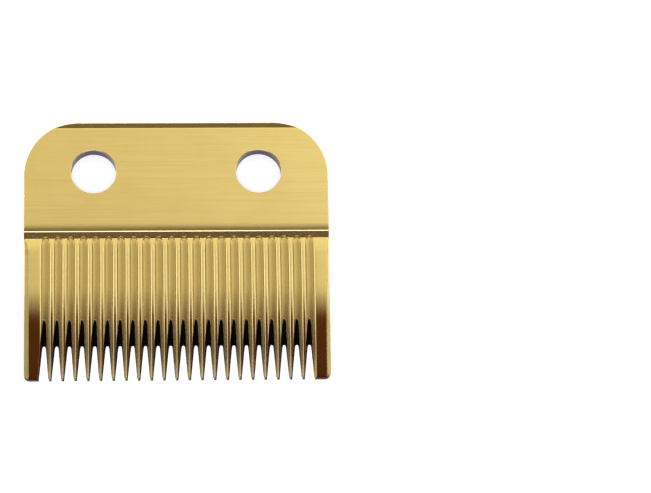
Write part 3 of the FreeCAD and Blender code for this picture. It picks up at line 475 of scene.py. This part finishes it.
    loops = [outline(d) for d in EDGE_D]
    ring = np.radians(np.arange(0, 360, 3.0))
    hole_d = [BREAK * (1 - math.sin(a)) for a in np.radians((90, 72, 54, 37, 20, 7))] + [BREAK, 0.17]
    rings = []
    for hx, hv in HOLES:
        for q in hole_d:
            rings.append(np.stack([hx + (R_HOLE + q) * np.cos(ring), hv + (R_HOLE + q) * np.sin(ring)], 1))
    start = nr * nc
    base_pts = pts[0][base]
    all2 = np.concatenate([base_pts] + loops + rings + more)
    n_base, n_out = len(base_pts), len(loops[0])
    cons = [(i, i + 1) for i in range(n_base - 1)]
    o0 = n_base
    cons += [(o0 + i, o0 + i + 1) for i in range(n_out - 1)] + [(n_base - 1, o0), (0, o0 + n_out - 1)]
    h0 = n_base + n_out * len(loops)
    nh = len(ring)
    hole_sets = []
    for i in range(2):
        b0 = h0 + i * nh * len(hole_d)
        hole_sets.append(range(b0, b0 + nh))
        cons += [(b0 + j, b0 + (j + 1) % nh) for j in range(nh)]
    # the triangulation sees the points at 1:1, moved by nothing
    got = delaunay_2d_cdt([Vector(p) for p in all2.tolist()], cons, [], 0, 1e-7)
    verts2, tris, orig = got[0], got[2], got[3]
    where = [o[0] if o else -1 for o in orig]
    if min(where) < 0:
        raise RuntimeError("lines of the outer face cross")
    in_hole = [set(s) for s in hole_sets]
    gid = lambda a: int(base[a]) if a < n_base else start + a - n_base
    for t in tris:
        o = [where[a] for a in t]
        if any(all(a in s for a in o) for s in in_hole):
            continue
        faces.append(tuple(gid(a) for a in o))
    flat = np.concatenate([pts[0], all2[n_base:]])
    z = height(flat[:, 0], flat[:, 1]) - under(flat[:, 1])
    used = sorted(set(a for f_ in faces for a in f_))
    remap = {a: i for i, a in enumerate(used)}
    flat, z = flat[used], z[used]
    faces = [tuple(remap[a] for a in f_) for f_ in faces]

    # walls: every open edge goes straight down past the inner face
    bm = bmesh.new()
    kind = bm.faces.layers.int.new("kind")
    bv = [bm.verts.new((p[0], p[1], q)) for p, q in zip(flat, z)]
    for f_ in faces:
        bm.faces.new([bv[a] for a in f_])
    open_edges = [e for e in bm.edges if len(e.link_faces) == 1]
    low = {}
    for e in open_edges:
        for a in e.verts:
            if a not in low:
                low[a] = bm.verts.new((a.co.x, a.co.y, -3.0))
    for e in open_edges:
        l = e.link_loops[0]
        a, b_ = l.vert, l.link_loop_next.vert
        f_ = bm.faces.new([b_, a, low[a], low[b_]])
        f_[kind] = 1
    bmesh.ops.bisect_plane(bm, geom=bm.verts[:] + bm.edges[:] + bm.faces[:], dist=1e-5, plane_co=(0, 0, 0), plane_no=(0, 0, 1), clear_inner=True, clear_outer=False)
    bm.verts.index_update()
    rim = [e for e in bm.edges if len(e.link_faces) == 1]
    rv = sorted({a.index for e in rim for a in e.verts})
    bm.verts.ensure_lookup_table()
    rmap = {a: i for i, a in enumerate(rv)}
    pts2 = [Vector((bm.verts[a].co.x, bm.verts[a].co.y)) for a in rv]
    cons = [tuple(rmap[a.index] for a in e.verts) for e in rim]
    rim_cons = list(cons)
    # level lines across the hollow and at its ends
    left_v, right_v = {}, {}
    for a in rv:
        c = bm.verts[a].co
        if abs(abs(c.x) - W2) < 1e-5:
            (left_v if c.x < 0 else right_v)[round(c.y, 5)] = rmap[a]
    for key, a in left_v.items():
        if 9.59 < key < 17.41 and key in right_v:
            cons.append((a, right_v[key]))
    c0 = len(pts2)
    xs = np.linspace(-W2 + 7, W2 - 7, 33)
    pts2 += [Vector((float(x), LEN - 0.15)) for x in xs]
    cons += [(c0 + i, c0 + i + 1) for i in range(len(xs) - 1)]
    got = delaunay_2d_cdt(pts2, cons, [], 0, 1e-7)
    ids = []
    for co, o in zip(got[0], got[3]):
        if o and o[0] < c0:
            ids.append(bm.verts[rv[o[0]]])
        else:
            ids.append(bm.verts.new((co.x, co.y, 0.0)))
    cen = np.array([[sum(got[0][a][c] for a in t) / 3 for c in (0, 1)] for t in got[2]])
    ea = np.array([pts2[a][:] for a, _ in rim_cons])
    eb = np.array([pts2[b_][:] for _, b_ in rim_cons])
    solid = []
    for cx, cy in cen:
        cross = (ea[:, 1] > cy) != (eb[:, 1] > cy)
        p_, q_ = ea[cross], eb[cross]
        solid.append(int(np.sum(cx < p_[:, 0] + (cy - p_[:, 1]) * (q_[:, 0] - p_[:, 0]) / (q_[:, 1] - p_[:, 1]))) % 2 == 1)
    for t, ok in zip(got[2], solid):
        if ok:
            f_ = bm.faces.new([ids[a] for a in reversed(t)])
            f_[kind] = 2
    for a in [a for a in bm.verts if not a.link_faces]:
        bm.verts.remove(a)
    holes_left = [e for e in bm.edges if len(e.link_faces) != 2]
    print("blade mesh", len(bm.verts), "verts", len(bm.faces), "faces", "open or crowded edges", len(holes_left))
    bmesh.ops.triangulate(bm, faces=[f_ for f_ in bm.faces if len(f_.verts) > 4])
    me = bpy.data.meshes.new("blade")
    bm.to_mesh(me)
    bm.free()
    return me


def finish_mesh(me):
    """Lifts the inner face to its form, gives each corner its true normal and the masks the material reads."""
    n = len(me.vertices)
    co = np.zeros(n * 3)
    me.vertices.foreach_get("co", co)
    co = co.reshape(-1, 3).astype(float)
    x, v = co[:, 0].copy(), np.clip(co[:, 1], 0, LEN)
    kind = np.zeros(len(me.polygons), int)
    me.attributes["kind"].data.foreach_get("value", kind)
    lv = np.zeros(len(me.loops), int)
    me.loops.foreach_get("vertex_index", lv)
    starts = np.zeros(len(me.polygons), int)
    totals = np.zeros(len(me.polygons), int)
    me.polygons.foreach_get("loop_start", starts)
    me.polygons.foreach_get("loop_total", totals)
    lk = np.repeat(kind, totals)
    # outer face: slope of the height, measured just inside the outline
    hh = 2e-4
    d, r = inset(x, v)
    on = outward(x, v)
    hd = hole_dist(x, v)
    rim = (d < 2e-4) | (hd < 2e-4)
    vx = np.maximum(v, 0.0006)
    gx = (height(x + hh, vx) - height(x - hh, vx)) / (2 * hh)
    gv = (height(x, vx + hh) - height(x, vx - hh)) / (2 * hh)
    top = np.stack([-gx, -gv, np.ones(n)], 1)
    top /= np.linalg.norm(top, axis=1)[:, None]
    wall = np.stack([on[:, 0], on[:, 1], np.zeros(n)], 1)
    front = (v < 2e-4) & (np.abs(x) < W2 - R_FRONT + 0.05)
    top[rim & ~front] = wall[rim & ~front]
    ub = (under(v + 1e-3) - under(v - 1e-3)) / 2e-3
    bot = np.stack([np.zeros(n), ub, -np.ones(n)], 1)
    bot /= np.linalg.norm(bot, axis=1)[:, None]
    normals = np.where((lk == 0)[:, None], top[lv], np.where((lk == 1)[:, None], wall[lv], bot[lv]))
    z = co[:, 2] + under(v)
    me.vertices.foreach_set("co", np.stack([x, v - LEN / 2, z], 1).astype(np.float32).ravel() / np.float32(1000))
    me.update()
    me.polygons.foreach_set("use_smooth", np.ones(len(me.polygons), bool))
    me.normals_split_custom_set(normals.astype(np.float32).tolist())

    # masks for the material, one value a corner
    p = profile(v)
    ridge = smin(p, side_bevel(x, v, p), 0.03)
    open_ = smin(ridge, flute(x, v), 0.03)
    whole = height(x, v)
    q = quarter(d, r) + quarter(hd, BREAK)
    in_gap = np.clip((open_ - q - whole - 0.006) / 0.04, 0, 1)
    in_flute = np.clip((ridge - open_) / 0.40, 0, 1)
    up, low = lk == 0, lk == 1
    near_hole = hd[lv] < 0.3
    steep = np.clip((0.72 - top[:, 2]) / 0.2, 0, 1)
    flank = steep * np.clip((ridge - open_ - 0.10) / 0.08, 0, 1) * (in_gap < 0.3)
    bevel = np.clip((p - smin(p, side_bevel(x, v, p), 0.03) - 0.004) / 0.03, 0, 1)
    put = {
        "flank": np.where(up, flank[lv], 0.0),
        "in_bevel": np.where(up, bevel[lv], 0.0),
        "in_gap": np.where(up, in_gap[lv], 0.0),
        "in_flute": np.where(up, in_flute[lv], 0.0),
        "hole_wall": np.where(low & near_hole, 1.0, 0.0),
        "side_wall": np.where(low & ~near_hole, 1.0, 0.0),
        "inner_face": np.where(lk == 2, 1.0, 0.0),
    }
    for name, val in put.items():
        at = me.attributes.new(name, "FLOAT", "CORNER")
        at.data.foreach_set("value", val.astype(np.float32))


# ---------------------------------------------------------------- material
gold = bpy.data.materials.new("gold_steel")
gold.use_nodes = True
nt = gold.node_tree
ND, LK = nt.nodes, nt.links
bsdf = ND["Principled BSDF"]
bsdf.inputs["Metallic"].default_value = 1.0


def node(kind, **kw):
    n = ND.new(kind)
    for k, val in kw.items():
        setattr(n, k, val)
    return n


def link(a, b):
    LK.new(a, b)


def math_(op, a, b=None, c=None, clamp=False):
    n = node("ShaderNodeMath", operation=op, use_clamp=clamp)
    for i, q in enumerate((a, b, c)):
        if q is None:
            continue
        if isinstance(q, (int, float)):
            n.inputs[i].default_value = q
        else:
            link(q, n.inputs[i])
    return n.outputs[0]


def ramp(x, a, b, lo=0.0, hi=1.0):
    """Smooth step of x from a to b, giving lo to hi."""
    n = node("ShaderNodeMapRange", interpolation_type="SMOOTHSTEP")
    link(x, n.inputs["Value"])
    n.inputs["From Min"].default_value, n.inputs["From Max"].default_value = a, b
    n.inputs["To Min"].default_value, n.inputs["To Max"].default_value = lo, hi
    return n.outputs["Result"]


def mix(fac, a, b, blend="MIX"):
    n = node("ShaderNodeMix", data_type="RGBA", blend_type=blend)
    for sock, q in ((n.inputs["Factor"], fac), (n.inputs[6], a), (n.inputs[7], b)):
        if isinstance(q, (int, float)):
            sock.default_value = q
        elif isinstance(q, tuple):
            sock.default_value = (*q, 1.0)
        else:
            link(q, sock)
    return n.outputs[2]


def attr(name):
    n = node("ShaderNodeAttribute", attribute_type="GEOMETRY", attribute_name=name)
    return n.outputs["Fac"]


coord = node("ShaderNodeTexCoord").outputs["Object"]
sep = node("ShaderNodeSeparateXYZ")
link(coord, sep.inputs[0])
X, Y, Z = (sep.outputs[k] for k in "XYZ")


def noise(scale, detail=3.0, rough=0.5, seed=0.0, lac=2.0):
    """Noise stretched by a scale for each axis, in lines per metre."""
    m_ = node("ShaderNodeMapping")
    link(coord, m_.inputs["Vector"])
    m_.inputs["Scale"].default_value = scale
    m_.inputs["Location"].default_value = (seed, seed * 1.7, seed * 0.6)
    n = node("ShaderNodeTexNoise", noise_dimensions="3D")
    link(m_.outputs[0], n.inputs["Vector"])
    n.inputs["Scale"].default_value = 1.0
    n.inputs["Detail"].default_value = detail
    n.inputs["Roughness"].default_value = rough
    n.inputs["Lacunarity"].default_value = lac
    return n.outputs["Fac"]


gap_, flute_, flank_, bevel_, hole_, side_, inner_ = (attr(k) for k in ("in_gap", "in_flute", "flank", "in_bevel", "hole_wall", "side_wall", "inner_face"))
# on the plate the grinding runs across the blade, in the comb field along it
on_plate = ramp(Y, 0.00225, 0.00285)
fine_x = noise((70, 11000, 3000), 4, 0.65, 3.1)
fine_y = noise((9000, 90, 3000), 4, 0.6, 7.7)
broad_x = noise((22, 900, 300), 3, 0.55, 1.3)
cloud = noise((130, 130, 130), 4, 0.6, 5.2)
grain = node("ShaderNodeMix", data_type="FLOAT")
link(on_plate, grain.inputs[0]); link(fine_y, grain.inputs[2]); link(fine_x, grain.inputs[3])
grain = grain.outputs[0]

GOLD = (0.86, 0.635, 0.19)
c = mix(ramp(grain, 0.3, 0.7, 0.0, 1.0), (0.80, 0.60, 0.175), (0.90, 0.70, 0.235))
c = mix(ramp(broad_x, 0.35, 0.65, 0.0, 0.35), c, (0.90, 0.70, 0.24))
c = mix(ramp(cloud, 0.4, 0.7, 0.0, 0.25), c, (0.76, 0.56, 0.155))
# teeth: darker towards the tips, painted shade: the dark red-brown stands in for the dark surroundings the tooth
# slopes and crests reflect
tooth_shade = ramp(Y, -0.0112, -0.0088, 1.0, 0.0)
on_ridge = math_("MULTIPLY", ramp(flute_, 0.0, 0.14, 1.0, 0.0), ramp(bevel_, 0.0, 0.5, 1.0, 0.0))
c = mix(math_("MULTIPLY", math_("MULTIPLY", tooth_shade, on_ridge), 0.85), c, (0.44, 0.105, 0.0))
# the lower teeth also get a darker, duller colour on their flanks, painted shade standing in for the dark they
# reflect
off_bevel = math_("MULTIPLY", ramp(bevel_, 0.0, 0.5, 1.0, 0.0), ramp(on_ridge, 0.2, 0.9, 1.0, 0.0))
c = mix(math_("MULTIPLY", ramp(Y, -0.0150, -0.0095, 0.58, 0.0), off_bevel), c, (0.27, 0.18, 0.07))
# painted shade: the rounded tooth tips darkened to near black for the dark they reflect
c = mix(ramp(Y, -0.01995, -0.0194, 0.85, 0.0), c, (0.07, 0.05, 0.02))
# painted shade: the flute floors darkened for the shade and blocked reflections between the ridges
c = mix(ramp(flute_, 0.5, 0.9, 0.0, 0.65), c, (0.56, 0.39, 0.10))
# painted shade: the steep flute flanks dimmed and dulled to tone down their reflections
c = mix(math_("MULTIPLY", flank_, 0.5), c, (0.46, 0.38, 0.17))
# painted shade: the slots between the teeth painted near black for the shade in them
c = mix(gap_, c, (0.012, 0.006, 0.005))
# painted shade: the hole walls painted dark for the shade inside the holes
c = mix(hole_, c, (0.030, 0.015, 0.008))
link(c, bsdf.inputs["Base Color"])

rough = math_("ADD", 0.175, math_("MULTIPLY", grain, 0.06))
rough = math_("ADD", rough, math_("MULTIPLY", flute_, 0.06))
rough = math_("ADD", rough, math_("MULTIPLY", flank_, 0.16))
rough = math_("ADD", rough, math_("MULTIPLY", gap_, 0.55))
rough = math_("ADD", rough, math_("MULTIPLY", hole_, 0.15))
rough = math_("ADD", rough, math_("MULTIPLY", side_, 0.08))
link(rough, bsdf.inputs["Roughness"])

bump = node("ShaderNodeBump")
bump.inputs["Strength"].default_value = 1.0
bump.inputs["Distance"].default_value = 0.0000012
link(grain, bump.inputs["Height"])
link(bump.outputs[0], bsdf.inputs["Normal"])

blade_me = blade_mesh()
finish_mesh(blade_me)
blade = bpy.data.objects.new("blade", blade_me)
sc.collection.objects.link(blade)
blade_me.materials.append(gold)
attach(blade, "root")
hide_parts("fixed_blade")
